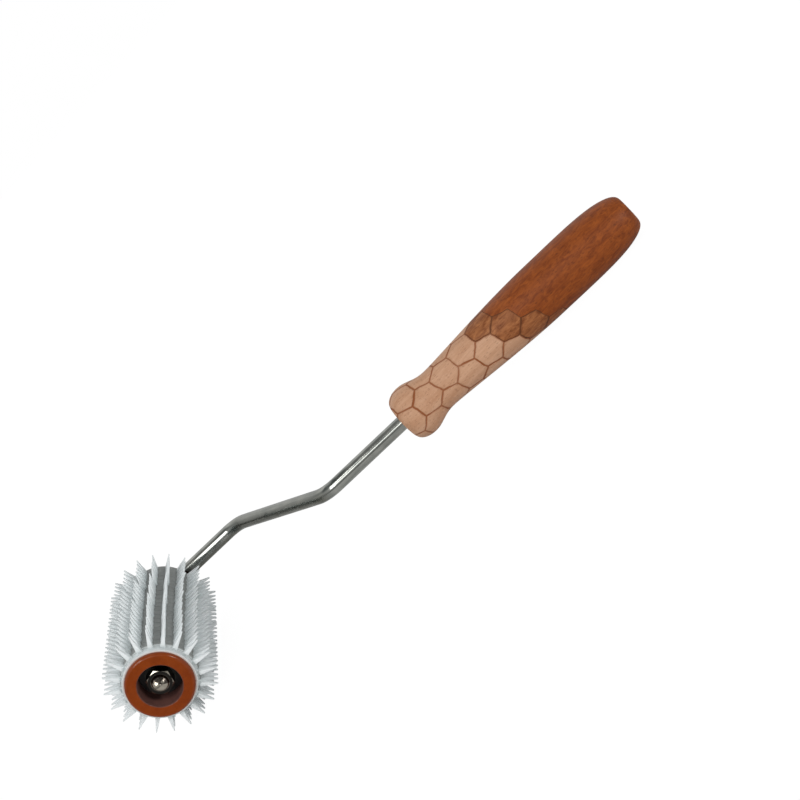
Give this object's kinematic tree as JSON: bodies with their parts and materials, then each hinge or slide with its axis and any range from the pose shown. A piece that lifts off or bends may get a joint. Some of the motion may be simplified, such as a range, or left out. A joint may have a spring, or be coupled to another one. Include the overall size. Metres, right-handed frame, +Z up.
{
  "type": "dough docker",
  "caption": "Hand roller of spiked discs that turns freely on a bent steel arm with a turned wooden handle, for pricking rolled-out dough.",
  "frame": {"origin": "on the table, under the middle of the tool's box, with the tool lying on its spikes and its handle", "axes": "+X along the tool towards the handle's end, +Y along the roller from its open end to the arm's corner, +Z up"},
  "size_m": [0.371, 0.121, 0.06],
  "materials": {
    "handle_wood": "turned beech, fine sanded, burned lines",
    "rod_steel": "drawn bright rod",
    "nut_steel": "polished",
    "washer_steel": "plain",
    "collar_steel": "plain",
    "tube_brown": "satin, brown",
    "bearing_black": "matt",
    "spike_white": "satin moulded, white",
    "spacer_grey": "matt, grey"
  },
  "bodies": {
    "root": {"handle": "handle_wood", "arm": "rod_steel", "cap_nut": "nut_steel", "near_washer": "washer_steel", "far_washer": "washer_steel", "stop_collar": "collar_steel"},
    "roller": {"core_tube": "tube_brown", "near_bearing": "bearing_black", "far_bearing": "bearing_black", "near_end_ring": "spike_white", "far_end_ring": "spacer_grey", "star_disc_01": "spike_white", "star_disc_02": "spike_white", "star_disc_03": "spike_white", "star_disc_04": "spike_white", "star_disc_05": "spike_white", "star_disc_06": "spike_white", "star_disc_07": "spike_white", "star_disc_08": "spike_white", "star_disc_09": "spike_white", "star_disc_10": "spike_white", "star_disc_11": "spike_white", "star_disc_12": "spike_white", "star_disc_13": "spike_white", "star_disc_14": "spike_white", "star_disc_15": "spike_white", "star_disc_16": "spike_white", "star_disc_17": "spike_white", "star_disc_18": "spike_white", "star_disc_19": "spike_white", "star_disc_20": "spike_white", "spacer_01": "spacer_grey", "spacer_02": "spacer_grey", "spacer_03": "spacer_grey", "spacer_04": "spacer_grey", "spacer_05": "spacer_grey", "spacer_06": "spacer_grey", "spacer_07": "spacer_grey", "spacer_08": "spacer_grey", "spacer_09": "spacer_grey", "spacer_10": "spacer_grey", "spacer_11": "spacer_grey", "spacer_12": "spacer_grey", "spacer_13": "spacer_grey", "spacer_14": "spacer_grey", "spacer_15": "spacer_grey", "spacer_16": "spacer_grey", "spacer_17": "spacer_grey", "spacer_18": "spacer_grey", "spacer_19": "spacer_grey"}
  },
  "joints": [
    {"name": "roller_spin", "type": "hinge", "parent": "root", "child": "roller", "pos_m": [-0.15548, -0.00555, 0.03], "axis": [0, 1, 0], "continuous": true}
  ]
}
